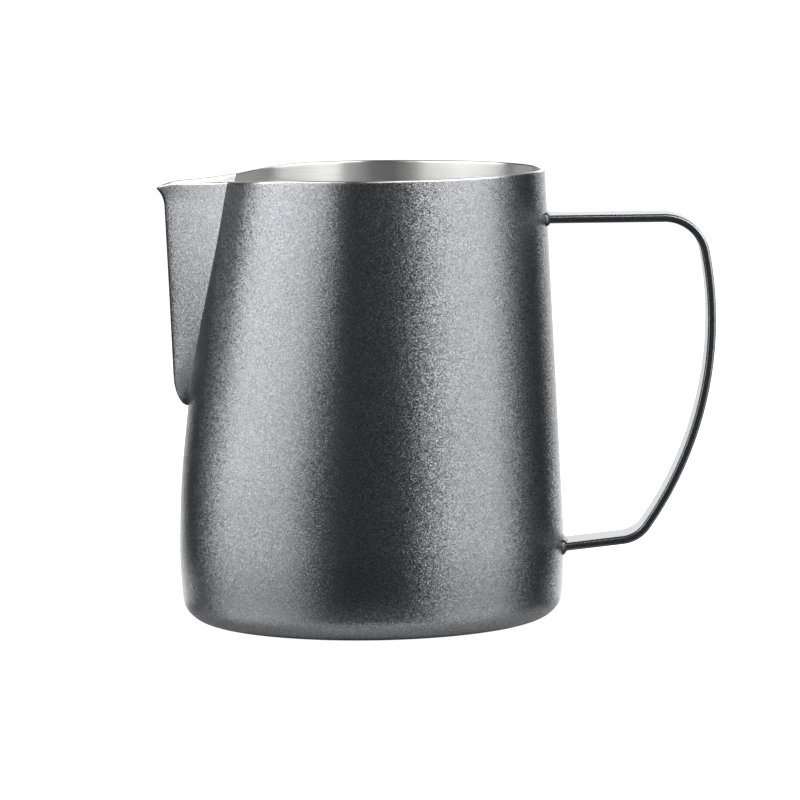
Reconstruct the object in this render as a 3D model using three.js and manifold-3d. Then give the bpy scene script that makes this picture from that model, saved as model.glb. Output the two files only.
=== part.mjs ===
// Milk frothing pitcher of about 600 ml, in steel sheet: a drawn cup, a pressed V spout that is
// welded into the front of its wall, and a flat strap handle that is welded to the back of it.
// Millimetres, +Z up. The origin is the centre of the base, on the cup's axis.
// The spout points along -X and the handle along +X.

import * as THREE from "three";
import { mergeVertices } from "three/addons/utils/BufferGeometryUtils.js";
import Module from "manifold-3d";

const wasm = await Module();
wasm.setup();

// Cup
const HEIGHT = 107;
const RIM_RADIUS = 42.5;
const WALL = 0.9;
const CONE_RATE = 0.0414; // the wall's radius grows by this much for each millimetre down
const SHOULDER_HEIGHT = 21.7; // below this the wall curves in towards the base
const SHOULDER_CURVE = 0.0042;
const CORNER_RADIUS = 5.8; // between the base and the wall

// The flat that is pressed into the front of the wall on both sides of the spout
const FLAT_DEPTH = 6.3; // at the rim
const FLAT_START = 34; // height at which the flat begins
const FLAT_BLEND = 8; // half the height over which it fades in
const FLAT_MIDDLE_ANGLE = 0.47; // from the middle of the spout, where it is deepest
const FLAT_END_ANGLE = 1.57;
const FLAT_EASE = 0.17; // share of the way between those angles that is rounded off at each end
const FLAT_INNER_RISE = 0.5; // how fast it rises towards the spout, against the other way

// The rim runs level round the back, drops a little to the sides of the spout, and curls down
// at the tip
const RIM_DROP = 2;
const RIM_DROP_FROM = 14; // distance towards the spout at which the rim leaves the level
const RIM_DROP_TO = 44;
const TIP_DROP = 1.5;
const RIM_DROP_FOOT = 70; // height below which the wall doesn't follow the drop

// Spout
const SPOUT_ROOT = 51.2; // height of the lowest point, where the toe meets the wall
const SPOUT_HALF_WIDTH = 15.6; // at the rim, from the middle plane to the crease
const SPOUT_WIDTH_POWER = 0.85; // how fast it widens above its root
const KEEL_X = -47.0; // the keel is the spout's front edge; this is its place above the toe
const KEEL_RATE = 0.033; // it leans forward by this much for each millimetre up
const KEEL_RADIUS = 2;
const KEEL_RADIUS_SHARE = 0.8; // near the root, the keel's radius against that of a round nose
const TOE_HEIGHT = 8;
const TOE_DEPTH = 3.4;
const LIP_START = 101; // height at which the keel starts to flick out to the tip
const LIP_REACH = 1.9;
const SPOUT_BACK_X = -25; // a plane inside the cup, behind the whole spout
const SEAM_WIDTH = 1.2;

// Handle strap, drawn along its centre line in the XZ plane
const STRAP_WIDTH = 13;
const STRAP_THICKNESS = 1.95;
const STRAP_EDGE = 0.6; // rounding of its long edges
const TOP_LEG_HEIGHT = 95.1;
const GRIP_RADIUS = 86;
const GRIP_CENTRE = new THREE.Vector2(-4.2, 71.4);
const TOP_BEND_RADIUS = 10;
const LOW_BEND_RADIUS = 8;
const LOW_LEG_SLOPE = THREE.MathUtils.degToRad(6.2); // it rises away from the wall
const LOW_LEG_START = new THREE.Vector2(44, 16.35);
const STRAP_INTO_CUP = 2; // length by which the strap is drawn too long before it is cut off
const WELD_SIZE = 1.3;

// Gap that two touching pieces keep
const GAP = 0.3;

// Least width, depth and radius of the spout's sections, where it runs out at its root
const LEAST_HALF_WIDTH = 0.3;
const LEAST_DEPTH = 0.1;
const LEAST_RADIUS = 0.05;

// How far the solids that only cut others reach past the rim and through the welds
const ABOVE_RIM = 12;
const PAST_WELD = 4;

// Mesh steps
const ROUND_STEPS = 84;
const WALL_STEPS = 10;
const CORNER_STEPS = 5;
const RIM_STEPS = 4;
const SPOUT_STEPS_ACROSS = 20;
const SPOUT_STEPS_UP = 18;
const CROWDING_ACROSS = 1.2; // above 1, the steps crowd together at the keel
const CROWDING_UP = 1.6; // above 1, they crowd together at the root
const BEND_STEPS = 7;
const EDGE_STEPS = 3;
const WELD_CORNER_STEPS = 4;

// Booleans ---------------------------------------------------------------------------------

function solidFrom(geometry) {
  const bare = geometry.clone();
  bare.deleteAttribute("normal");
  bare.deleteAttribute("uv");
  const merged = mergeVertices(bare, 1e-4);
  return new wasm.Manifold(
    new wasm.Mesh({
      numProp: 3,
      vertProperties: merged.attributes.position.array,
      triVerts: new Uint32Array(merged.index.array),
    }),
  );
}

function geometryFrom(solid) {
  const { vertProperties, triVerts } = solid.getMesh();
  const geometry = new THREE.BufferGeometry();
  geometry.setAttribute("position", new THREE.BufferAttribute(vertProperties, 3));
  geometry.setIndex(new THREE.BufferAttribute(triVerts, 1));
  geometry.computeVertexNormals();
  return geometry;
}

function moveVertices(geometry, place) {
  const positions = geometry.attributes.position;
  const point = new THREE.Vector3();
  for (let i = 0; i < positions.count; i += 1) {
    point.fromBufferAttribute(positions, i);
    place(point);
    positions.setXYZ(i, point.x, point.y, point.z);
  }
  return geometry;
}

// Surfaces of the cup ----------------------------------------------------------------------

function wallRadius(z) {
  const belowShoulder = Math.max(0, SHOULDER_HEIGHT - z);
  return RIM_RADIUS + CONE_RATE * (HEIGHT - z) - SHOULDER_CURVE * belowShoulder ** 2;
}

// Greatest depth of the front flat at a height
function flatDepth(z) {
  const rate = FLAT_DEPTH / (HEIGHT - FLAT_START);
  const aboveFade = z - (FLAT_START - FLAT_BLEND);
  if (aboveFade <= 0) return 0;
  if (aboveFade >= 2 * FLAT_BLEND) return rate * (z - FLAT_START);
  return (rate * aboveFade ** 2) / (4 * FLAT_BLEND);
}

// 0 to 1 in a straight line that is rounded off at both ends
function eased(t, ease) {
  const end = Math.max(0, Math.min(t, 1 - t));
  const rounded = (end < ease ? end ** 2 / (2 * ease) : end - ease / 2) / (1 - ease);
  return t < 0.5 ? rounded : 1 - rounded;
}

// How far the wall is pressed in, at an angle from the middle of the spout
function pressedIn(angle, z) {
  const share = (angle - FLAT_MIDDLE_ANGLE) / (FLAT_END_ANGLE - FLAT_MIDDLE_ANGLE);
  return flatDepth(z) * (1 - eased(Math.max(share, -FLAT_INNER_RISE * share), FLAT_EASE));
}

function rimDrop(x) {
  const curl = Math.max(0, -x - RIM_DROP_TO) / (-keelX(HEIGHT) - RIM_DROP_TO);
  return RIM_DROP * THREE.MathUtils.smoothstep(-x, RIM_DROP_FROM, RIM_DROP_TO) + TIP_DROP * curl ** 2;
}

// Moves a point of the plain turned shape to where the pressing leaves it
function press(point) {
  const angle = Math.atan2(Math.abs(point.y), -point.x);
  const radius = Math.hypot(point.x, point.y);
  if (radius > CORNER_RADIUS) {
    const factor = (radius - pressedIn(angle, point.z)) / radius;
    point.x *= factor;
    point.y *= factor;
  }
  dropWithRim(point);
}

function dropWithRim(point) {
  const share = Math.max(0, (point.z - RIM_DROP_FOOT) / (HEIGHT - RIM_DROP_FOOT));
  point.z -= rimDrop(point.x) * Math.min(share, 1) ** 2;
}

function turned(profile) {
  return new THREE.LatheGeometry(profile, ROUND_STEPS).rotateX(Math.PI / 2);
}

// Points of the cup's wall moved outwards by an offset, from the base up
function wallProfile(offset) {
  const cornerX = wallRadius(CORNER_RADIUS) - CORNER_RADIUS;
  const points = [];
  for (let i = 0; i < CORNER_STEPS; i += 1) {
    const angle = (Math.PI / 2) * (i / CORNER_STEPS);
    const reach = CORNER_RADIUS + offset;
    const x = cornerX + reach * Math.sin(angle);
    points.push(new THREE.Vector2(x, CORNER_RADIUS - reach * Math.cos(angle)));
  }
  for (let i = 0; i <= WALL_STEPS; i += 1) {
    const z = THREE.MathUtils.lerp(CORNER_RADIUS, HEIGHT - WALL / 2, i / WALL_STEPS);
    points.push(new THREE.Vector2(wallRadius(z) + offset, z));
  }
  return points;
}

function shellSolid() {
  const outside = wallProfile(0);
  const inside = wallProfile(-WALL).reverse();
  const rim = [];
  for (let i = 1; i < RIM_STEPS; i += 1) {
    const angle = Math.PI * (i / RIM_STEPS);
    const z = HEIGHT - WALL / 2;
    const x = wallRadius(z) - WALL / 2;
    rim.push(new THREE.Vector2(x + (WALL / 2) * Math.cos(angle), z + (WALL / 2) * Math.sin(angle)));
  }
  const start = new THREE.Vector2(0, 0);
  const end = new THREE.Vector2(0, WALL);
  const profile = [start, ...outside, ...rim, ...inside, end];
  return solidFrom(moveVertices(turned(profile), press));
}

// The whole space inside the cup's outer surface, moved outwards by an offset, and taller than it
function coreSolid(offset) {
  const wall = wallProfile(offset);
  const top = HEIGHT + ABOVE_RIM;
  const start = new THREE.Vector2(0, -offset);
  const upper = new THREE.Vector2(wallRadius(HEIGHT) + offset, top);
  const profile = [start, ...wall, upper, new THREE.Vector2(0, top)];
  return solidFrom(moveVertices(turned(profile), press));
}

// Surfaces of the spout --------------------------------------------------------------------

// How far the lip flicks out past the straight keel
function lipShift(z) {
  return LIP_REACH * Math.max(0, (z - LIP_START) / (HEIGHT - LIP_START)) ** 2;
}

function keelX(z) {
  const toe = Math.min(1, Math.max(0, (SPOUT_ROOT + TOE_HEIGHT - z) / TOE_HEIGHT));
  const lean = KEEL_RATE * Math.max(0, z - SPOUT_ROOT - TOE_HEIGHT);
  return KEEL_X + TOE_DEPTH * (1 - Math.sqrt(1 - toe ** 2)) - lean - lipShift(z);
}

function creaseHalfWidth(z) {
  const share = Math.max(0, z - SPOUT_ROOT) / (HEIGHT - SPOUT_ROOT);
  return SPOUT_HALF_WIDTH * Math.sin((Math.PI / 2) * share ** SPOUT_WIDTH_POWER);
}

// The V that the spout shows when it is cut level at a height, moved outwards by an offset.
// It is a hyperbola with the keel's radius at its nose, so that its sides run nearly straight.
function vSection(z, offset) {
  const height = Math.min(HEIGHT, Math.max(SPOUT_ROOT, z + offset));
  const crease = Math.max(LEAST_HALF_WIDTH, creaseHalfWidth(height));
  const wall = wallRadius(height) - flatDepth(height);
  const lip = lipShift(height);
  const keel = keelX(height) + lip;
  const depth = Math.max(LEAST_DEPTH, -Math.sqrt(wall ** 2 - crease ** 2) - keel);
  const slant = Math.hypot(depth, crease) / depth;
  const radius = Math.min(KEEL_RADIUS, (KEEL_RADIUS_SHARE * crease ** 2) / (2 * depth));
  const spread = crease ** 2 / (depth * radius) - 1;
  const slope = crease / Math.sqrt(spread ** 2 - 1) / radius;

  // The offset surface keeps the slope of the sides, and only its nose gets blunter or sharper.
  // The lip too moves only the nose.
  const blunter = (offset * (Math.hypot(1, slope) - 1) - lip) / slope ** 2;
  const movedRadius = Math.max(LEAST_RADIUS, radius + blunter);
  const scale = slope * movedRadius;
  return {
    halfWidth: Math.max(LEAST_HALF_WIDTH, crease + offset * slant),
    surfaceX: (y) => keel - lip - offset + slope * scale * (Math.hypot(1, y / scale) - 1),
  };
}

// The space behind that V, from the root of the spout up to the rim and back inside the cup.
// Where it cuts an opening, one more row of the block carries it on past the rim.
function prowSolid(offset, pastRim) {
  const block = new THREE.BoxGeometry(1, 1, 1, 1, SPOUT_STEPS_ACROSS, SPOUT_STEPS_UP);
  const bottom = SPOUT_ROOT + LEAST_DEPTH - offset;
  const rowsToRim = pastRim > 0 ? SPOUT_STEPS_UP - 1 : SPOUT_STEPS_UP;
  moveVertices(block, (point) => {
    const across = 2 * point.y;
    const row = Math.round((point.z + 0.5) * SPOUT_STEPS_UP);
    const up = Math.min(1, row / rowsToRim) ** CROWDING_UP;
    const z = THREE.MathUtils.lerp(bottom, HEIGHT, up);
    const section = vSection(z, offset);
    const y = section.halfWidth * Math.sign(across) * Math.abs(across) ** CROWDING_ACROSS;
    const x = point.x < 0 ? section.surfaceX(y) : SPOUT_BACK_X;
    point.set(x, y, z);
    dropWithRim(point);
    if (row > rowsToRim) point.z += pastRim;
  });
  return solidFrom(block);
}

// Handle -----------------------------------------------------------------------------------

function strapCentreLine() {
  const toTopBend = GRIP_RADIUS - TOP_BEND_RADIUS;
  const topBendZ = TOP_LEG_HEIGHT - TOP_BEND_RADIUS;
  const topTurn = Math.asin((topBendZ - GRIP_CENTRE.y) / toTopBend);
  const topBendX = GRIP_CENTRE.x + toTopBend * Math.cos(topTurn);

  // The lower bend's centre lies on a line parallel to the lower leg, and on a circle about the
  // grip's centre.
  const legDirection = new THREE.Vector2(Math.cos(LOW_LEG_SLOPE), Math.sin(LOW_LEG_SLOPE));
  const legNormal = new THREE.Vector2(-legDirection.y, legDirection.x);
  const offsetStart = LOW_LEG_START.clone().addScaledVector(legNormal, LOW_BEND_RADIUS);
  const fromGrip = offsetStart.clone().sub(GRIP_CENTRE);
  const along = fromGrip.dot(legDirection);
  const toLowBend = GRIP_RADIUS - LOW_BEND_RADIUS;
  const run = -along + Math.sqrt(along ** 2 - fromGrip.lengthSq() + toLowBend ** 2);
  const lowBend = offsetStart.clone().addScaledVector(legDirection, run);
  const lowTurn = lowBend.clone().sub(GRIP_CENTRE).angle() - 2 * Math.PI;

  const line = new THREE.Path();
  line.moveTo(wallRadius(TOP_LEG_HEIGHT) - STRAP_INTO_CUP, TOP_LEG_HEIGHT);
  line.lineTo(topBendX, TOP_LEG_HEIGHT);
  line.absarc(topBendX, topBendZ, TOP_BEND_RADIUS, Math.PI / 2, topTurn, true);
  line.absarc(GRIP_CENTRE.x, GRIP_CENTRE.y, GRIP_RADIUS, topTurn, lowTurn, true);
  line.absarc(lowBend.x, lowBend.y, LOW_BEND_RADIUS, lowTurn, LOW_LEG_SLOPE - Math.PI / 2, true);
  line.lineTo(LOW_LEG_START.x, LOW_LEG_START.y);
  return line;
}

function strapSolid() {
  const centres = strapCentreLine().getPoints(BEND_STEPS);
  const sideAt = (i, side) => {
    const before = centres[Math.max(0, i - 1)];
    const after = centres[Math.min(centres.length - 1, i + 1)];
    const along = after.clone().sub(before).normalize();
    const reach = (side * STRAP_THICKNESS) / 2;
    return new THREE.Vector2(centres[i].x - along.y * reach, centres[i].y + along.x * reach);
  };
  const outer = centres.map((_, i) => sideAt(i, 1));
  const inner = centres.map((_, i) => sideAt(i, -1)).reverse();
  const strap = new THREE.ExtrudeGeometry(new THREE.Shape([...outer, ...inner]), {
    depth: STRAP_WIDTH - 2 * STRAP_EDGE,
    bevelThickness: STRAP_EDGE,
    bevelSize: STRAP_EDGE,
    bevelOffset: -STRAP_EDGE,
    bevelSegments: EDGE_STEPS,
  });
  strap.translate(0, 0, STRAP_EDGE - STRAP_WIDTH / 2).rotateX(Math.PI / 2);
  return solidFrom(strap);
}

function roundedRectangle(width, height, radius) {
  const x = width / 2 - radius;
  const y = height / 2 - radius;
  const shape = new THREE.Shape();
  shape.absarc(x, y, radius, 0, Math.PI / 2, false);
  shape.absarc(-x, y, radius, Math.PI / 2, Math.PI, false);
  shape.absarc(-x, -y, radius, Math.PI, 1.5 * Math.PI, false);
  shape.absarc(x, -y, radius, 1.5 * Math.PI, 2 * Math.PI, false);
  return shape;
}

// A bead of weld round the end of the strap. Its local X runs out along the strap's leg.
function weldSolid(wallX, z, slope, wallWithGap) {
  const grow = 2 * WELD_SIZE;
  const outline = roundedRectangle(STRAP_WIDTH + grow, STRAP_THICKNESS + grow, WELD_SIZE);
  const hole = roundedRectangle(STRAP_WIDTH + 2 * GAP, STRAP_THICKNESS + 2 * GAP, STRAP_EDGE + GAP);
  const taper = WELD_SIZE - 2 * GAP;
  const standOnLeg = (geometry) =>
    geometry
      .rotateX(Math.PI / 2)
      .rotateZ(Math.PI / 2)
      .rotateY(-slope)
      .translate(wallX, 0, z);
  const bead = new THREE.ExtrudeGeometry(outline, {
    depth: WELD_SIZE,
    bevelThickness: taper,
    bevelSize: taper,
    bevelOffset: -taper,
    bevelSegments: EDGE_STEPS,
    curveSegments: WELD_CORNER_STEPS,
  });
  const passage = new THREE.ExtrudeGeometry(hole, {
    depth: WELD_SIZE + 2 * PAST_WELD,
    bevelEnabled: false,
    curveSegments: WELD_CORNER_STEPS,
  });
  bead.translate(0, 0, -taper);
  passage.translate(0, 0, -PAST_WELD);
  return solidFrom(standOnLeg(bead)).subtract(solidFrom(standOnLeg(passage))).subtract(wallWithGap);
}

// Assembly ---------------------------------------------------------------------------------

const coatedSteel = new THREE.MeshStandardMaterial({ color: 0x55565b, roughness: 0.45, metalness: 0.6 });
const brushedSteel = new THREE.MeshStandardMaterial({ color: 0xc4c5c6, roughness: 0.35, metalness: 1 });

const pitcher = new THREE.Group();

function addPiece(name, solid, material) {
  const mesh = new THREE.Mesh(geometryFrom(solid), material);
  mesh.name = name;
  pitcher.add(mesh);
}

const shell = shellSolid();
const core = coreSolid(0);
const coreWithGap = coreSolid(GAP);

const trough = prowSolid(0, 0).subtract(prowSolid(-WALL, ABOVE_RIM));
const seamInside = prowSolid(GAP, ABOVE_RIM);
const seamOutside = prowSolid(GAP + SEAM_WIDTH, ABOVE_RIM);
const seamOpening = prowSolid(GAP + SEAM_WIDTH + GAP, ABOVE_RIM);

addPiece("body_shell", shell.subtract(seamOpening), coatedSteel);
addPiece("spout", trough.subtract(coreSolid(-WALL)), coatedSteel);
addPiece("spout_seam", shell.intersect(seamOutside).subtract(seamInside), brushedSteel);
addPiece("handle_strap", strapSolid().subtract(coreWithGap), coatedSteel);

const topWeldX = wallRadius(TOP_LEG_HEIGHT);
addPiece("handle_weld_upper", weldSolid(topWeldX, TOP_LEG_HEIGHT, 0, coreWithGap), coatedSteel);
const lowWeldX = wallRadius(LOW_LEG_START.y);
const lowWeldZ = LOW_LEG_START.y + (lowWeldX - LOW_LEG_START.x) * Math.tan(LOW_LEG_SLOPE);
addPiece("handle_weld_lower", weldSolid(lowWeldX, lowWeldZ, LOW_LEG_SLOPE, coreWithGap), coatedSteel);

export default pitcher;
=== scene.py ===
# Looks of the milk frothing pitcher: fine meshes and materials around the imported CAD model.
# The shape functions work in millimetres in the CAD frame (+Z up, spout along -X, handle along
# +X), and mesh_piece() turns them into metres.

import math

import bmesh
import bpy
import numpy as np
from mathutils import Matrix, Vector


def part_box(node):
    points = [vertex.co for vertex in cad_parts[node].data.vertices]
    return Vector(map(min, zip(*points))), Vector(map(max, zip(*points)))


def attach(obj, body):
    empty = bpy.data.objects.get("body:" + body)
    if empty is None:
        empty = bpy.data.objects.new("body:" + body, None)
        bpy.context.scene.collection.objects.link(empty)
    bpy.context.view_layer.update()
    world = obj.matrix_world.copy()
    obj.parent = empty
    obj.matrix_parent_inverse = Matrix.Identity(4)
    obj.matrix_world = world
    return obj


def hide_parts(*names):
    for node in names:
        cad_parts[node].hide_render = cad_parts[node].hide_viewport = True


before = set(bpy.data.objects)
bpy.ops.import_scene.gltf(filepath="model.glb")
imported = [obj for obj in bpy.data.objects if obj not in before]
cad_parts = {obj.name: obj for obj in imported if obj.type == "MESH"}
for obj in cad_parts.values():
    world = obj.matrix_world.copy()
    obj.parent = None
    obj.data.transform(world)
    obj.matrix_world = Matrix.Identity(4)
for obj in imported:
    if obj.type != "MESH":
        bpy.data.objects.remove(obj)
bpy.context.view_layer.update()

MM = 0.001

# Sizes read from the frame
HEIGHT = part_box("body_shell")[1].z / MM
TIP_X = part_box("spout")[0].x / MM
STRAP_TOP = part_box("handle_strap")[1].z / MM
STRAP_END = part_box("handle_strap")[1].x / MM
STRAP_WIDTH = 2.0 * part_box("handle_strap")[1].y / MM

# Cup, as in the CAD model
WALL = 0.9
RIM_RADIUS = 42.5
CONE_RATE = 0.0414  # gain of radius for each millimetre below the rim
SHOULDER_HEIGHT = 21.7  # the wall pulls in below this
SHOULDER_CURVE = 0.0042
CORNER_RADIUS = 5.8  # between base and wall
FLAT_DEPTH = 6.3  # how far the flats beside the spout are pressed in at the rim
FLAT_START = 34.0  # height at which the flats begin
FLAT_BLEND = 8.0
FLAT_MIDDLE_ANGLE = 0.47  # radians from the middle of the spout, where a flat is deepest
FLAT_END_ANGLE = 1.57
FLAT_EASE = 0.17
FLAT_INNER_RISE = 0.5
RIM_DROP = 2.0  # the rim comes down by this towards the spout
RIM_DROP_FROM = 14.0  # distances in front of the axis
RIM_DROP_TO = 44.0
RIM_DROP_FOOT = 70.0  # nothing below this height comes down
TIP_DROP = 1.5

# Spout, as in the CAD model
SPOUT_ROOT = 51.2
SPOUT_HALF_WIDTH = 15.6
SPOUT_WIDTH_POWER = 0.85
KEEL_X = -47.0
KEEL_RATE = 0.033  # lean of the keel for each millimetre of height
KEEL_RADIUS = 2.0
KEEL_RADIUS_SHARE = 0.8  # of the largest radius that fits in a section
TOE_HEIGHT = 8.0
TOE_DEPTH = 3.4
LIP_START = 101.0
LEAST_HALF_WIDTH = 0.02
LEAST_DEPTH = 0.01
LEAST_RADIUS_SHARE = 0.05
WIDEST_CREASE = 0.9  # radians from the middle of the spout
SLIT = 0.0012  # radians; keeps both sides apart where the spout has not opened yet
HALVINGS = 45

# Strap, as in the CAD model
STRAP_THICKNESS = 1.95
STRAP_EDGE = 0.6
GRIP_RADIUS = 86.0
GRIP_CENTRE_HEIGHT = 71.4
GRIP_CENTRE = np.array([STRAP_END - GRIP_RADIUS - STRAP_THICKNESS / 2, GRIP_CENTRE_HEIGHT])
TOP_BEND_RADIUS = 10.0
TOP_LEG_HEIGHT = STRAP_TOP - STRAP_THICKNESS / 2
LOW_BEND_RADIUS = 8.0
LOW_LEG_SLOPE = math.radians(6.2)
LOW_LEG_START = np.array([44.0, 16.35])
LOW_LEG = np.array([math.cos(LOW_LEG_SLOPE), math.sin(LOW_LEG_SLOPE)])  # its direction

# Layers and beads
FACET_SAG = 0.005  # keeps the fine round surface inside the CAD model's faceted one
COAT = 0.09  # thickness of the coating
COAT_GAP = 0.01  # between the coating and the steel under it
COAT_BELOW_RIM = 0.42  # the rim is left bare above this
HALF_STEEL = (WALL - COAT - COAT_GAP) / 2
COATING_LAYER = (FACET_SAG, COAT, HEIGHT - COAT_BELOW_RIM)  # outer and inner inset, top
STEEL_LAYER = (COAT + COAT_GAP, WALL, HEIGHT - HALF_STEEL)
SEAM_REACH = 0.5  # width of the ground weld on both sides of the inner edge
SEAM_HEIGHT = 0.07
SEAM_CROWN = 1.2  # height over the edge, as a share of SEAM_HEIGHT
SEAM_UNDERSIDE = 0.9  # share of the width that the sunk underside has
SEAM_ABOVE_ROOT = 2.0
UPPER_WELD_REACH = (0.7, 0.8)  # along the wall and along the leg
LOWER_WELD_REACH = (0.9, 0.9)
WELD_HOLLOW = 1.3  # power that makes the bead's face hollow

# Coatings: tilt of the flakes, shade of the dullest one and of the brightest one
BODY_COAT = (0.25, 0.16, 0.37)
STRAP_COAT = (0.04, 0.24, 0.28)
# The weld beads wear the same powder coat as the rest; their much darker shades are painted shade
# in the corner where the strap meets the wall.
WELD_COAT_PAINTED_SHADE = (0.1, 0.07, 0.12)
COAT_TINT = (0.98, 0.99, 1.03)
COAT_ROUGHNESS = ((0.0, 0.31), (1.0, 0.25))
FLAKE_SCALE = 6200.0  # flakes per metre

# Brushed steel
STREAK_SCALE = (25.0, 25.0, 3500.0)  # per metre: long round the cup, fine in height
STREAK_SHADES = ((0.3, (0.73, 0.725, 0.71)), (0.7, (0.87, 0.867, 0.855)))
STREAK_ROUGHNESS = ((0.3, 0.36), (0.7, 0.28))
STREAK_DEPTH = 0.00004
STREAK_BUMP = 0.1
BRUSH_STRETCH = 0.85
BRUSH_QUARTER_TURN = 0.25

# Studio, in metres. The backdrop and the board with its light patch are for reflections only.
BACKDROP = 1.7  # brightness
BACKDROP_EDGE = 1.15  # its edge is brighter by this factor
BACKDROP_CENTRE = 0.98  # cosine of the angle within which it has its plain brightness
BACKDROP_AZIMUTH = math.radians(176.0)
BACKDROP_HALF_ANGLE = math.radians(26.5)
BACKDROP_SOFTNESS = 0.024
ROOM = (0.05, 0.055, 0.065)
BLACK = (0.0, 0.0, 0.0)
BOARD_HALF_SIZE = 30.0
BOARD_SHADES = ((0.05, 0.6), (0.065, 0.13))  # over the distance from the pitcher's axis
BOARD_POLISH = ((0.05, 0.0), (0.07, 1.0))
BOARD_ROUGHNESS = 0.15
PATCH_APEX = (-0.018, -0.18, 0.0)  # the light patch widens from here towards the backdrop
PATCH_HALF_ANGLE = math.radians(20.5)
PATCH_SOFTNESS = 0.02
PATCH_FADING = ((0.12, 0.58), (0.3, 0.4), (0.42, 0.2))  # over the distance from the axis
PATCH_START = ((0.0, 0.0), (0.02, 1.0))  # over Y
PAPER_SHADE = 0.7
PAPER_ROUGHNESS = 0.9
PAPER_GLOW = 0.97

# Soft boxes: name, azimuths from the camera's side in degrees, heights, brightness
SOFT_BOX_DISTANCE = 0.75
SOFT_BOXES = (
    ("left_outer", -106.5, -66.0, 0.0, 0.32, 2.3),
    ("left_outer_upper", -106.5, -66.0, 0.32, 0.6, 6.4),
    ("left_inner", -66.0, -38.0, 0.0, 0.32, 1.9),
    ("left_inner_upper", -66.0, -38.0, 0.32, 0.6, 5.3),
    ("right", 38.0, 94.0, 0.0, 0.32, 2.2),
    ("right_upper", 38.0, 94.0, 0.32, 0.6, 5.8),
    ("left_middle", -38.0, -27.0, 0.45, 0.7, 4.0),
    ("right_middle", 14.0, 38.0, 0.45, 0.7, 4.5),
    ("right_top", 2.0, 116.0, 0.7, 1.2, 2.8),
)

# Camera
CAMERA_PLACE = (0.01784, -1.15258, 0.17544)
CAMERA_PITCH = math.radians(6.121)
CAMERA_YAW = math.radians(-0.527)
CAMERA_ROLL = math.radians(-0.797)
LENS = 217.7
SENSOR = 36.0
CLIP_START = 0.05
CLIP_END = 100.0

# Mesh steps
COLUMNS = 300  # round the cup
SPOUT_COLUMNS = 60
SPOUT_CROWDING = 1.4  # power that gathers the spout's columns at its keel
BASE_ROWS = 8
CORNER_ROWS = 14
WALL_STEP = 1.3
TOE_ZONE = 2.0  # height of the spout's root that has closer rows
TOE_ROWS = 11
SPOUT_STEP = 1.0
LIP_ROWS = 15
RIM_ROWS = 7
SEAM_STEPS = 4  # on each side of the edge
LEG_STEPS = 13
BEND_STEP = math.radians(2.0)
LEAST_BEND_POINTS = 3
STRAP_CORNER_STEPS = 6
STRAP_FACE_STEPS = 8
WELD_STEPS = 6
WALL_TRIES = 4  # rounds that bring a weld's ring onto the wall
SHARP_ANGLE = 32.0
SEAM_SHARP_ANGLE = 50.0
WELD_SHARP_ANGLE = 60.0
SAME_PLACE = 1e-6
MERGE = 2e-7  # metres


# Surfaces of the cup ----------------------------------------------------------------------

def smoothstep(x, low, high):
    t = np.clip((x - low) / (high - low), 0.0, 1.0)
    return t * t * (3.0 - 2.0 * t)


def eased(t, ease):
    """0 to 1 in a straight line that is rounded off over the share ease at both ends."""
    t = np.clip(t, 0.0, 1.0)
    end = np.minimum(t, 1.0 - t)
    rounded = np.where(end < ease, end**2 / (2.0 * ease), end - ease / 2.0) / (1.0 - ease)
    return np.where(t < 0.5, rounded, 1.0 - rounded)


def wall_radius(z):
    below = np.maximum(0.0, SHOULDER_HEIGHT - z)
    return RIM_RADIUS + CONE_RATE * (HEIGHT - z) - SHOULDER_CURVE * below**2


def flat_depth(z):
    rate = FLAT_DEPTH / (HEIGHT - FLAT_START)
    above = np.clip(z - (FLAT_START - FLAT_BLEND), 0.0, 2.0 * FLAT_BLEND)
    fade = rate * above**2 / (4.0 * FLAT_BLEND)
    return np.where(z > FLAT_START + FLAT_BLEND, rate * (z - FLAT_START), fade)


def pressed_in(angle, z):
    """How far the wall is pressed in, at an angle from the middle of the spout."""
    share = (angle - FLAT_MIDDLE_ANGLE) / (FLAT_END_ANGLE - FLAT_MIDDLE_ANGLE)
    share = np.maximum(share, -FLAT_INNER_RISE * share)
    return flat_depth(z) * (1.0 - eased(share, FLAT_EASE))


def lip_shift(z):
    """How far the lip flicks out past the straight keel."""
    reach = KEEL_X - KEEL_RATE * (HEIGHT - SPOUT_ROOT - TOE_HEIGHT) - TIP_X
    return reach * np.maximum(0.0, (z - LIP_START) / (HEIGHT - LIP_START)) ** 2


def straight_keel_x(z):
    """The keel without the lip: a rounded toe, then a straight line that leans out."""
    toe = np.clip((SPOUT_ROOT + TOE_HEIGHT - z) / TOE_HEIGHT, 0.0, 1.0)
    lean = KEEL_RATE * np.maximum(0.0, z - SPOUT_ROOT - TOE_HEIGHT)
    return KEEL_X + TOE_DEPTH * (1.0 - np.sqrt(1.0 - toe**2)) - lean


def rim_drop(x):
    curl = np.maximum(0.0, -x - RIM_DROP_TO) / (-TIP_X - RIM_DROP_TO)
    return RIM_DROP * smoothstep(-x, RIM_DROP_FROM, RIM_DROP_TO) + TIP_DROP * curl**2


def dropped(points):
    """The points after the rim's drop towards the spout."""
    share = np.clip((points[..., 2] - RIM_DROP_FOOT) / (HEIGHT - RIM_DROP_FOOT), 0.0, 1.0)
    moved = points.copy()
    moved[..., 2] -= rim_drop(points[..., 0]) * share**2
    return moved


def crease_half_width(z):
    share = np.clip((z - SPOUT_ROOT) / (HEIGHT - SPOUT_ROOT), 0.0, 1.0)
    return SPOUT_HALF_WIDTH * np.sin(math.pi / 2 * share**SPOUT_WIDTH_POWER)


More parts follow.
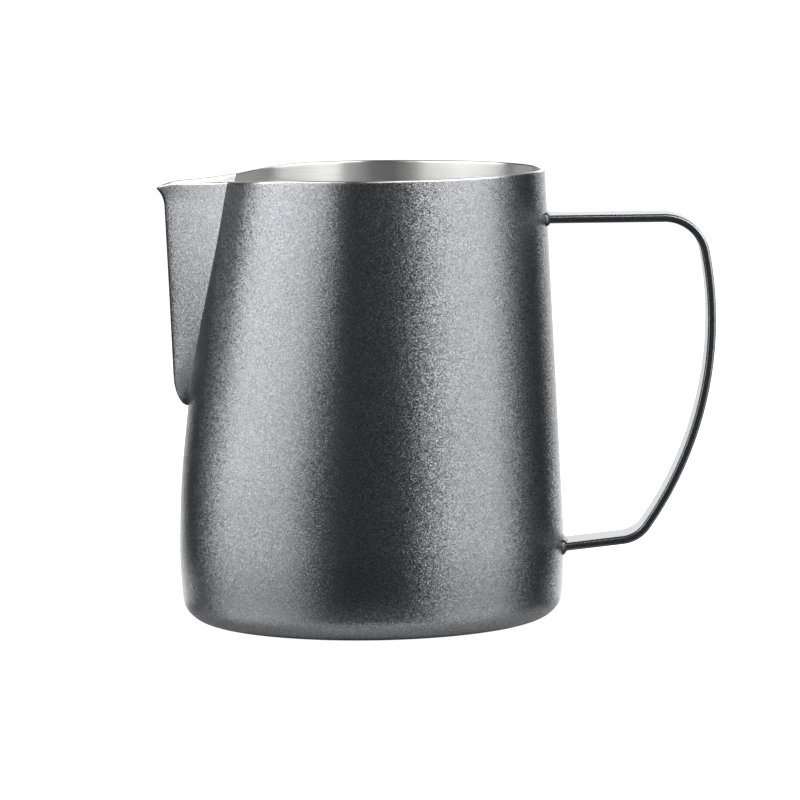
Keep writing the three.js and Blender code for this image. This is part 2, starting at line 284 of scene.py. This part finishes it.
def v_curve(z, inset):
    """The spout cut level at height z, moved inwards by inset, as a function x(y)."""
    height = np.clip(z - inset, SPOUT_ROOT, HEIGHT)
    crease = np.maximum(LEAST_HALF_WIDTH, crease_half_width(height))
    wall = wall_radius(height) - flat_depth(height)
    lip = lip_shift(height)
    keel = straight_keel_x(height)
    depth = np.maximum(LEAST_DEPTH, -np.sqrt(wall**2 - crease**2) - keel)
    radius = np.minimum(KEEL_RADIUS, KEEL_RADIUS_SHARE * crease**2 / (2.0 * depth))
    spread = crease**2 / (depth * radius) - 1.0
    slope = crease / np.sqrt(spread**2 - 1.0) / radius
    # The inner curve's sides are parallel to the outer one's, at the same distance as its nose.
    # The lip moves only the nose, which gets sharper.
    nose = radius - (inset * (np.sqrt(1.0 + slope**2) - 1.0) + lip) / slope**2
    scale = slope * np.maximum(LEAST_RADIUS_SHARE * radius, nose)
    return lambda y: keel - lip + inset + slope * scale * (np.hypot(1.0, y / scale) - 1.0)


def crease_angle(z, inset):
    """Angle from the middle of the spout at which its side meets the wall."""
    section = v_curve(z, inset)
    low = np.zeros_like(z)
    high = np.full_like(z, WIDEST_CREASE)
    for _ in range(HALVINGS):
        middle = 0.5 * (low + high)
        radius = wall_radius(z) - inset - pressed_in(middle, z)
        proud = section(radius * np.sin(middle)) + radius * np.cos(middle) < 0.0
        low = np.where(proud, middle, low)
        high = np.where(proud, high, middle)
    return np.where(z <= SPOUT_ROOT, 0.0, np.maximum(SLIT, low))


# Mesh building ----------------------------------------------------------------------------

def mesh_piece(name, points, faces, material, slot, node, sharp_angle=SHARP_ANGLE):
    mesh = bpy.data.meshes.new(name)
    mesh.from_pydata((points.reshape(-1, 3) * MM).tolist(), [], faces)
    bm = bmesh.new()
    bm.from_mesh(mesh)
    bmesh.ops.remove_doubles(bm, verts=bm.verts, dist=MERGE)
    bmesh.ops.recalc_face_normals(bm, faces=bm.faces)
    bm.to_mesh(mesh)
    bm.free()
    mesh.shade_smooth()
    mesh.set_sharp_from_angle(angle=math.radians(sharp_angle))
    mesh.materials.append(material)
    piece = bpy.data.objects.new(name, mesh)
    bpy.context.scene.collection.objects.link(piece)
    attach(piece, "root")
    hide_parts(node)


def grid_faces(rows, columns):
    """Quads of a grid whose points are numbered row by row."""
    return [
        (i * columns + j, i * columns + j + 1, (i + 1) * columns + j + 1, (i + 1) * columns + j)
        for i in range(rows - 1)
        for j in range(columns - 1)
    ]


def tube_faces(rings, columns, start=0, endless=False):
    """Quads between rings of points. A tube that isn't endless gets a face at both ends."""
    faces = []
    for i in range(rings if endless else rings - 1):
        a = start + i * columns
        b = start + (i + 1) % rings * columns
        for j in range(columns):
            k = (j + 1) % columns
            faces.append((a + j, a + k, b + k, b + j))
    if not endless:
        for ring in (start, start + (rings - 1) * columns):
            faces.append(tuple(range(ring, ring + columns)))
    return faces


def side_faces(columns, column, first, last):
    """Closes a layer's cut edge along one column, between rows first and last."""
    faces = []
    while last - first > 1:
        ring = [first, first + 1, last - 1, last]
        if last - first == 2:
            ring = [first, first + 1, last]
        faces.append(tuple(row * columns + column for row in ring))
        first += 1
        last -= 1
    return faces


# Cup and spout ----------------------------------------------------------------------------

def spout_levels(top):
    """Heights of the rows from the spout's root up to top: close together at both ends."""
    toe = SPOUT_ROOT + TOE_ZONE * np.linspace(0.0, 1.0, TOE_ROWS) ** 2
    middle = np.arange(SPOUT_ROOT + TOE_ZONE + SPOUT_STEP, LIP_START, SPOUT_STEP)
    lip = np.linspace(LIP_START, top, LIP_ROWS)
    return np.concatenate([toe, middle, lip])


def cup_rows(inset, top):
    """Heights and radii of the plain cup's surface moved inwards by inset, from the middle of
    the base up to top."""
    corner = wall_radius(CORNER_RADIUS) - CORNER_RADIUS
    flat = np.linspace(0.0, corner, BASE_ROWS + 1)[:-1]
    turn = np.linspace(0.0, math.pi / 2, CORNER_ROWS)
    reach = CORNER_RADIUS - inset
    wall = np.arange(CORNER_RADIUS, SPOUT_ROOT, WALL_STEP)[1:]
    levels = np.concatenate([wall, spout_levels(top)])
    z = np.concatenate([np.full_like(flat, inset), CORNER_RADIUS - reach * np.cos(turn), levels])
    radius = np.concatenate([flat, corner + reach * np.sin(turn), wall_radius(levels) - inset])
    return z, radius


def layer_rows(outer, inner, top):
    """Rows of a closed layer of the wall, up its outer surface and down its inner one: height,
    inset and radius, and the rows at the spout's root on both surfaces."""
    up_z, up_radius = cup_rows(outer, top)
    down_z, down_radius = cup_rows(inner, top)
    middle = (outer + inner) / 2
    half = (inner - outer) / 2
    turn = np.linspace(0.0, math.pi, RIM_ROWS + 2)[1:-1]
    rim_inset = middle - half * np.cos(turn)
    rim_z = top + half * np.sin(turn)
    z = np.concatenate([up_z, rim_z, down_z[::-1]])
    inset = np.concatenate([np.full_like(up_z, outer), rim_inset, np.full_like(down_z, inner)])
    radius = np.concatenate([up_radius, wall_radius(rim_z) - rim_inset, down_radius[::-1]])
    first = len(up_z) - len(spout_levels(top))
    return z, inset, radius, first, len(z) - 1 - first


def cup_layer(outer, inner, top):
    """Points and faces of a layer of the cup, open where the spout is."""
    z, inset, radius, first, last = layer_rows(outer, inner, top)
    rows = slice(first, last + 1)
    crease = np.zeros_like(z)
    crease[rows] = crease_angle(z[rows], inset[rows])
    crease = crease[:, None]
    angle = crease + np.linspace(0.0, 1.0, COLUMNS + 1) * 2.0 * (math.pi - crease)
    level = np.broadcast_to(z[:, None], angle.shape)
    reach = radius[:, None] - pressed_in(np.minimum(angle, 2.0 * math.pi - angle), level)
    points = np.stack([-reach * np.cos(angle), -reach * np.sin(angle), level], axis=-1)
    faces = grid_faces(len(z), COLUMNS + 1)
    for column in (0, COLUMNS):
        faces += side_faces(COLUMNS + 1, column, first, last)
    return dropped(points), faces


def spout_layer(outer, inner, top):
    """Points and faces of the same layer of the spout, which fills that opening."""
    z, inset, radius, first, last = layer_rows(outer, inner, top)
    rows = slice(first, last + 1)
    z, inset, radius = z[rows], inset[rows], radius[rows]
    crease = crease_angle(z, inset)
    reach = radius - pressed_in(crease, z)
    side_x = (-reach * np.cos(crease))[:, None]
    side_y = (reach * np.sin(crease))[:, None]
    across = np.linspace(-1.0, 1.0, SPOUT_COLUMNS + 1)
    y = side_y * np.sign(across) * np.abs(across) ** SPOUT_CROWDING
    x = np.minimum(side_x, v_curve(z[:, None], inset[:, None])(y))
    x[:, [0, -1]] = side_x
    points = np.stack([x, y, np.broadcast_to(z[:, None], x.shape)], axis=-1)
    faces = grid_faces(len(z), SPOUT_COLUMNS + 1)
    for column in (0, SPOUT_COLUMNS):
        faces += side_faces(SPOUT_COLUMNS + 1, column, 0, len(z) - 1)
    return dropped(points), faces


def build_body_shell(coated, bare):
    coating = cup_layer(*COATING_LAYER)
    steel = cup_layer(*STEEL_LAYER)
    mesh_piece("body_shell_coating", *coating, coated, "coated_steel", "body_shell")
    mesh_piece("body_shell_steel", *steel, bare, "bare_steel", "body_shell")


def build_spout(coated, bare):
    coating = spout_layer(*COATING_LAYER)
    steel = spout_layer(*STEEL_LAYER)
    mesh_piece("spout_coating", *coating, coated, "coated_steel", "spout")
    mesh_piece("spout_steel", *steel, bare, "bare_steel", "spout")


def build_seam(bare):
    """The weld between cup and spout, ground down to a low bead along the inner edge."""
    z = spout_levels(HEIGHT - WALL / 2)
    z = z[z > SPOUT_ROOT + SEAM_ABOVE_ROOT]
    inset = np.full_like(z, WALL)
    crease = crease_angle(z, inset)

    def on_wall(angle):
        reach = wall_radius(z) - WALL - pressed_in(angle, z)
        return np.stack([-reach * np.cos(angle), reach * np.sin(angle), z], axis=-1)

    edge = on_wall(crease)
    side_y = edge[:, 1] - SEAM_REACH
    on_spout = np.stack([v_curve(z, inset)(side_y), side_y, z], axis=-1)
    wall_side = on_wall(crease + SEAM_REACH / RIM_RADIUS) - edge
    spout_side = on_spout - edge
    proud = -(wall_side + spout_side)
    proud /= np.linalg.norm(proud, axis=1)[:, None]

    shares = np.linspace(0.0, 1.0, SEAM_STEPS + 1)
    face = [(wall_side, share) for share in shares[::-1]]
    face += [(spout_side, share) for share in shares[1:]]
    underside = ((spout_side, SEAM_UNDERSIDE), (spout_side, 0.0), (wall_side, SEAM_UNDERSIDE))
    outline = [
        edge + share * side + SEAM_HEIGHT * (SEAM_CROWN - share) * proud for side, share in face
    ]
    outline += [edge + share * side - SEAM_HEIGHT * proud for side, share in underside]

    near = dropped(np.stack(outline, axis=1))
    far = near * [1.0, -1.0, 1.0]
    points = np.stack([near, far])
    faces = tube_faces(*near.shape[:2])
    faces += tube_faces(*near.shape[:2], start=near[..., 0].size)
    mesh_piece("spout_seam_bead", points, faces, bare, "bare_steel", "spout_seam", SEAM_SHARP_ANGLE)


# Handle -----------------------------------------------------------------------------------

def arc(centre, radius, start, end):
    """Points of a clockwise arc and its headings."""
    turn = np.linspace(start, end, max(LEAST_BEND_POINTS, int(abs(end - start) / BEND_STEP)))
    places = centre + radius * np.stack([np.cos(turn), np.sin(turn)], axis=-1)
    headings = np.stack([np.sin(turn), -np.cos(turn)], axis=-1)
    return places, headings


def low_leg_end():
    """Where the lower leg's centre line meets the wall, as x and z."""
    to_wall = wall_radius(LOW_LEG_START[1]) - LOW_LEG_START[0]
    return LOW_LEG_START + LOW_LEG * to_wall / LOW_LEG[0]


def strap_line():
    """Points of the strap's centre line and its headings, from the top leg round to the
    lower one, in the XZ plane."""
    to_top = GRIP_RADIUS - TOP_BEND_RADIUS
    top_z = TOP_LEG_HEIGHT - TOP_BEND_RADIUS
    top_turn = math.asin((top_z - GRIP_CENTRE[1]) / to_top)
    top_bend = np.array([GRIP_CENTRE[0] + to_top * math.cos(top_turn), top_z])
    top_x = np.linspace(wall_radius(TOP_LEG_HEIGHT), top_bend[0], LEG_STEPS + 1)[:-1]
    top_leg = np.stack([top_x, np.full_like(top_x, TOP_LEG_HEIGHT)], axis=-1)

    offset_start = LOW_LEG_START + LOW_BEND_RADIUS * np.array([-LOW_LEG[1], LOW_LEG[0]])
    from_grip = offset_start - GRIP_CENTRE
    along = from_grip @ LOW_LEG
    to_low = GRIP_RADIUS - LOW_BEND_RADIUS
    run = -along + math.sqrt(along**2 - from_grip @ from_grip + to_low**2)
    low_bend = offset_start + run * LOW_LEG
    low_turn = math.atan2(*(low_bend - GRIP_CENTRE)[::-1])
    low_from = low_bend + LOW_BEND_RADIUS * np.array([LOW_LEG[1], -LOW_LEG[0]])
    shares = np.linspace(0.0, 1.0, LEG_STEPS + 1)[1:, None]
    low_leg = low_from + shares * (low_leg_end() - low_from)

    parts = [
        (top_leg, np.tile([1.0, 0.0], (len(top_leg), 1))),
        arc(top_bend, TOP_BEND_RADIUS, math.pi / 2, top_turn),
        arc(GRIP_CENTRE, GRIP_RADIUS, top_turn, low_turn),
        arc(low_bend, LOW_BEND_RADIUS, low_turn, LOW_LEG_SLOPE - math.pi / 2),
        (low_leg, np.tile(-LOW_LEG, (len(low_leg), 1))),
    ]
    places = np.concatenate([place for place, _ in parts])
    headings = np.concatenate([heading for _, heading in parts])
    moves = np.linalg.norm(np.diff(places, axis=0), axis=1)
    keep = np.concatenate([[True], moves > SAME_PLACE])
    return places[keep], headings[keep]


def strap_section():
    """Points round the strap's section and their outward normals: across it, through it."""
    half_width = STRAP_WIDTH / 2 - STRAP_EDGE
    half_through = STRAP_THICKNESS / 2 - STRAP_EDGE
    points, normals = [], []
    for quarter, (side_x, side_y) in enumerate(((1, 1), (-1, 1), (-1, -1), (1, -1))):
        corner = np.array([side_x * half_width, side_y * half_through])
        for step in range(STRAP_CORNER_STEPS + 1):
            turn = math.pi / 2 * (quarter + step / STRAP_CORNER_STEPS)
            normal = np.array([math.cos(turn), math.sin(turn)])
            points.append(corner + STRAP_EDGE * normal)
            normals.append(normal)
        if side_x == side_y:
            for share in np.linspace(0.0, 1.0, STRAP_FACE_STEPS + 1)[1:-1]:
                x = half_width * (1 - 2 * share) * side_x
                points.append(np.array([x, side_y * STRAP_THICKNESS / 2]))
                normals.append(np.array([0.0, side_y]))
    return np.array(points), np.array(normals)


def build_strap(coated):
    places, headings = strap_line()
    section, _ = strap_section()
    outward = np.stack([-headings[:, 1], headings[:, 0]], axis=-1)
    rows, columns = len(places), len(section)
    points = np.zeros((rows, columns, 3))
    points[..., 0] = places[:, None, 0] + outward[:, None, 0] * section[:, 1]
    points[..., 1] = section[:, 0]
    points[..., 2] = places[:, None, 1] + outward[:, None, 1] * section[:, 1]
    for row in (0, rows - 1):
        z = points[row, :, 2]
        on_wall = np.sqrt(wall_radius(z) ** 2 - points[row, :, 1] ** 2)
        shift = on_wall - points[row, :, 0]
        points[row, :, 0] = on_wall
        points[row, :, 2] += shift * headings[row, 1] / headings[row, 0]
    faces = tube_faces(rows, columns)
    mesh_piece("handle_strap_fine", points, faces, coated, "coated_steel", "handle_strap")


def build_weld(name, node, height, slope, reach, coated):
    """A bead of weld round the strap's end, in the corner between the strap and the wall."""
    reach_wall, reach_leg = reach
    section, normals = strap_section()
    along = np.array([math.cos(slope), 0.0, math.sin(slope)])
    through = np.array([-math.sin(slope), 0.0, math.cos(slope)])
    start = np.array([wall_radius(height), 0.0, height])
    profile = [
        (reach_wall * math.sin(turn) ** WELD_HOLLOW, reach_leg * math.cos(turn) ** WELD_HOLLOW)
        for turn in np.linspace(0.0, math.pi / 2, WELD_STEPS + 1)
    ]
    profile.append((0.0, 0.0))
    rings = []
    for out, up in profile:
        flat = section + out * normals
        base = start + flat[:, :1] * [0.0, 1.0, 0.0] + flat[:, 1:] * through
        for _ in range(WALL_TRIES):
            shift = np.sqrt(wall_radius(base[:, 2]) ** 2 - base[:, 1] ** 2) - base[:, 0]
            base = base + (shift / along[0])[:, None] * along
        rings.append(base + up * along)
    faces = tube_faces(len(rings), len(section), endless=True)
    mesh_piece(name, np.stack(rings), faces, coated, "coated_steel", node, WELD_SHARP_ANGLE)


def build_upper_weld(coated):
    name, node = "handle_weld_upper_bead", "handle_weld_upper"
    build_weld(name, node, TOP_LEG_HEIGHT, 0.0, UPPER_WELD_REACH, coated)


def build_lower_weld(coated):
    name, node = "handle_weld_lower_bead", "handle_weld_lower"
    build_weld(name, node, low_leg_end()[1], LOW_LEG_SLOPE, LOWER_WELD_REACH, coated)


# Materials --------------------------------------------------------------------------------

def node_material(name):
    material = bpy.data.materials.new(name)
    material.use_nodes = True
    tree = material.node_tree
    return material, tree, tree.nodes["Principled BSDF"]


def add_node(tree, kind, **values):
    """A new node; each value is for the input of that name, or else for the property."""
    node = tree.nodes.new(kind)
    for key, value in values.items():
        if key in node.inputs:
            node.inputs[key].default_value = value
        else:
            setattr(node, key, value)
    return node


def vector_math(tree, operation, first, second=None):
    """The outcome of an operation on the output first and on second, a vector or an output."""
    node = add_node(tree, "ShaderNodeVectorMath", operation=operation)
    tree.links.new(first, node.inputs[0])
    if isinstance(second, tuple):
        node.inputs[1].default_value = second
    elif second is not None:
        tree.links.new(second, node.inputs[1])
    return node.outputs["Value" if operation in ("LENGTH", "DOT_PRODUCT") else "Vector"]


def object_coordinates(tree, scale=(1.0, 1.0, 1.0)):
    source = add_node(tree, "ShaderNodeTexCoord")
    mapping = add_node(tree, "ShaderNodeMapping", Scale=scale)
    tree.links.new(source.outputs["Object"], mapping.inputs["Vector"])
    return mapping.outputs["Vector"]


def grey(value):
    return (value, value, value)


def ramp(tree, source, stops):
    """A ramp over source through the stops: positions with a colour or a grey value each."""
    node = add_node(tree, "ShaderNodeValToRGB")
    elements = node.color_ramp.elements
    while len(elements) < len(stops):
        elements.new(0.5)
    for element, (position, colour) in zip(elements, stops):
        element.position = position
        element.color = (*(colour if isinstance(colour, tuple) else grey(colour)), 1.0)
    tree.links.new(source, node.inputs["Fac"])
    return node.outputs["Color"]


def split_by_ray(tree, seen, reflected, output):
    """Shows the shader seen to the camera and the shader reflected to all other rays."""
    path = add_node(tree, "ShaderNodeLightPath")
    mix = add_node(tree, "ShaderNodeMixShader")
    tree.links.new(path.outputs["Is Camera Ray"], mix.inputs[0])
    tree.links.new(reflected.outputs[0], mix.inputs[1])
    tree.links.new(seen.outputs[0], mix.inputs[2])
    tree.links.new(mix.outputs[0], tree.nodes[output].inputs["Surface"])


def coated_steel(name, tilt, dull, bright):
    """Dark grey powder coat with metallic flakes, each with its own tilt and shade."""
    material, tree, shader = node_material(name)
    flakes = add_node(tree, "ShaderNodeTexVoronoi", Scale=FLAKE_SCALE)
    tree.links.new(object_coordinates(tree), flakes.inputs["Vector"])
    parts = add_node(tree, "ShaderNodeSeparateColor")
    tree.links.new(flakes.outputs["Color"], parts.inputs["Color"])
    shades = [
        (position, tuple(shade * part for part in COAT_TINT))
        for position, shade in ((0.0, dull), (1.0, bright))
    ]
    tree.links.new(ramp(tree, parts.outputs["Red"], shades), shader.inputs["Base Color"])
    roughness = ramp(tree, parts.outputs["Green"], COAT_ROUGHNESS)
    tree.links.new(roughness, shader.inputs["Roughness"])

    centred = vector_math(tree, "SUBTRACT", flakes.outputs["Color"], grey(0.5))
    lean = vector_math(tree, "MULTIPLY", centred, grey(tilt))
    surface = add_node(tree, "ShaderNodeNewGeometry")
    tilted = vector_math(tree, "ADD", surface.outputs["Normal"], lean)
    tree.links.new(vector_math(tree, "NORMALIZE", tilted), shader.inputs["Normal"])
    shader.inputs["Metallic"].default_value = 1.0
    return material


def bare_steel():
    """Stainless steel, brushed round the cup: its highlights are drawn out across the brushing."""
    material, tree, shader = node_material("bare_steel_finish")
    streaks = add_node(tree, "ShaderNodeTexNoise", Scale=1.0, Detail=3.0, Roughness=0.6)
    tree.links.new(object_coordinates(tree, STREAK_SCALE), streaks.inputs["Vector"])
    tree.links.new(ramp(tree, streaks.outputs["Fac"], STREAK_SHADES), shader.inputs["Base Color"])
    roughness = ramp(tree, streaks.outputs["Fac"], STREAK_ROUGHNESS)
    tree.links.new(roughness, shader.inputs["Roughness"])
    bump = add_node(tree, "ShaderNodeBump", Strength=STREAK_BUMP, Distance=STREAK_DEPTH)
    tree.links.new(streaks.outputs["Fac"], bump.inputs["Height"])
    tree.links.new(bump.outputs["Normal"], shader.inputs["Normal"])
    shader.inputs["Metallic"].default_value = 1.0
    shader.inputs["Anisotropic"].default_value = BRUSH_STRETCH
    shader.inputs["Anisotropic Rotation"].default_value = BRUSH_QUARTER_TURN
    brushing = add_node(tree, "ShaderNodeTangent", direction_type="RADIAL", axis="Z")
    tree.links.new(brushing.outputs["Tangent"], shader.inputs["Tangent"])
    return material


# Studio -----------------------------------------------------------------------------------

def towards_backdrop(tree, direction, half_angle, softness, elsewhere):
    """The backdrop's brightness for directions within a half angle of it."""
    middle = (math.sin(BACKDROP_AZIMUTH), -math.cos(BACKDROP_AZIMUTH), 0.0)
    towards = vector_math(tree, "DOT_PRODUCT", direction, middle)
    edge = math.cos(half_angle)
    stops = [
        (edge - softness, elsewhere),
        (edge + softness, BACKDROP_EDGE * BACKDROP),
        (BACKDROP_CENTRE, BACKDROP),
    ]
    return ramp(tree, towards, stops)


def floor_board():
    """White paper. Reflections see a dark polished board instead, with a pale dull disc under
    the pitcher and a light patch that widens from beside the pitcher towards the backdrop."""
    material, tree, board = node_material("floor_board")
    here = object_coordinates(tree)
    distance = vector_math(tree, "LENGTH", here)
    tree.links.new(ramp(tree, distance, BOARD_SHADES), board.inputs["Base Color"])
    tree.links.new(ramp(tree, distance, BOARD_POLISH), board.inputs["Metallic"])
    board.inputs["Roughness"].default_value = BOARD_ROUGHNESS

    from_apex = vector_math(tree, "NORMALIZE", vector_math(tree, "SUBTRACT", here, PATCH_APEX))
    patch = towards_backdrop(tree, from_apex, PATCH_HALF_ANGLE, PATCH_SOFTNESS, BLACK)
    faded = vector_math(tree, "MULTIPLY", patch, ramp(tree, distance, PATCH_FADING))
    split = add_node(tree, "ShaderNodeSeparateXYZ")
    tree.links.new(here, split.inputs[0])
    started = ramp(tree, split.outputs["Y"], PATCH_START)
    glow = vector_math(tree, "MULTIPLY", faded, started)
    tree.links.new(glow, board.inputs["Emission Color"])
    board.inputs["Emission Strength"].default_value = 1.0

    paper = add_node(tree, "ShaderNodeBsdfPrincipled")
    paper.inputs["Base Color"].default_value = (*grey(PAPER_SHADE), 1.0)
    paper.inputs["Roughness"].default_value = PAPER_ROUGHNESS
    paper.inputs["Specular IOR Level"].default_value = 0.0
    paper.inputs["Emission Color"].default_value = (*grey(1.0), 1.0)
    paper.inputs["Emission Strength"].default_value = PAPER_GLOW
    split_by_ray(tree, paper, board, "Material Output")
    return material


def build_floor():
    size = BOARD_HALF_SIZE
    corners = [(-size, -size, 0.0), (size, -size, 0.0), (size, size, 0.0), (-size, size, 0.0)]
    mesh = bpy.data.meshes.new("floor")
    mesh.from_pydata(corners, [], [(0, 1, 2, 3)])
    mesh.materials.append(floor_board())
    floor = bpy.data.objects.new("floor", mesh)
    bpy.context.scene.collection.objects.link(floor)


def build_world():
    """White to the camera. Reflections see a white backdrop and a dark room elsewhere."""
    world = bpy.data.worlds.new("studio")
    bpy.context.scene.world = world
    world.use_nodes = True
    tree = world.node_tree
    direction = add_node(tree, "ShaderNodeTexCoord").outputs["Generated"]
    backdrop = towards_backdrop(tree, direction, BACKDROP_HALF_ANGLE, BACKDROP_SOFTNESS, ROOM)
    room = tree.nodes["Background"]
    tree.links.new(backdrop, room.inputs["Color"])
    white = add_node(tree, "ShaderNodeBackground")
    white.inputs["Color"].default_value = (*grey(1.0), 1.0)
    split_by_ray(tree, white, room, "World Output")


def add_soft_box(name, start, end, low, high, radiance):
    """An upright soft box that faces the pitcher, between two azimuths and two heights."""
    distance = SOFT_BOX_DISTANCE
    turn = math.radians((start + end) / 2)
    light = bpy.data.lights.new(name, "AREA")
    light.shape = "RECTANGLE"
    light.size = 2.0 * distance * math.tan(math.radians(end - start) / 2)
    light.size_y = high - low
    light.energy = math.pi * light.size * light.size_y * radiance
    box = bpy.data.objects.new(name, light)
    box.visible_camera = False
    box.location = (distance * math.sin(turn), -distance * math.cos(turn), (low + high) / 2)
    box.rotation_euler = (math.pi / 2, 0.0, turn)
    bpy.context.scene.collection.objects.link(box)


def build_camera():
    """The photograph's camera: it looks down by about six degrees at the pitcher's side."""
    flat = math.cos(CAMERA_PITCH)
    forward = Vector(
        (math.sin(CAMERA_YAW) * flat, math.cos(CAMERA_YAW) * flat, -math.sin(CAMERA_PITCH))
    )
    level = Vector((math.cos(CAMERA_YAW), -math.sin(CAMERA_YAW), 0.0))
    up = level.cross(forward)
    right = level * math.cos(CAMERA_ROLL) + up * math.sin(CAMERA_ROLL)
    above = up * math.cos(CAMERA_ROLL) - level * math.sin(CAMERA_ROLL)
    lens = bpy.data.cameras.new("camera")
    lens.lens = LENS
    lens.sensor_width = SENSOR
    lens.clip_start = CLIP_START
    lens.clip_end = CLIP_END
    camera = bpy.data.objects.new("camera", lens)
    axes = Matrix((right, above, -forward)).transposed().to_4x4()
    camera.matrix_world = Matrix.Translation(Vector(CAMERA_PLACE)) @ axes
    bpy.context.scene.collection.objects.link(camera)
    bpy.context.scene.camera = camera


coated = coated_steel("coated_steel_finish", *BODY_COAT)
strap_coated = coated_steel("strap_finish", *STRAP_COAT)
# The weld beads take a darker copy of the coat: painted shade where the strap meets the wall.
weld_coat_painted_shade = coated_steel("weld_painted_shade_finish", *WELD_COAT_PAINTED_SHADE)
bare = bare_steel()
build_body_shell(coated, bare)
build_spout(coated, bare)
build_seam(bare)
build_strap(strap_coated)
build_upper_weld(weld_coat_painted_shade)
build_lower_weld(weld_coat_painted_shade)

build_floor()
build_world()
for name, *place_and_brightness in SOFT_BOXES:
    add_soft_box(f"soft_box_{name}", *place_and_brightness)
build_camera()
bpy.context.scene.view_settings.view_transform = "Standard"
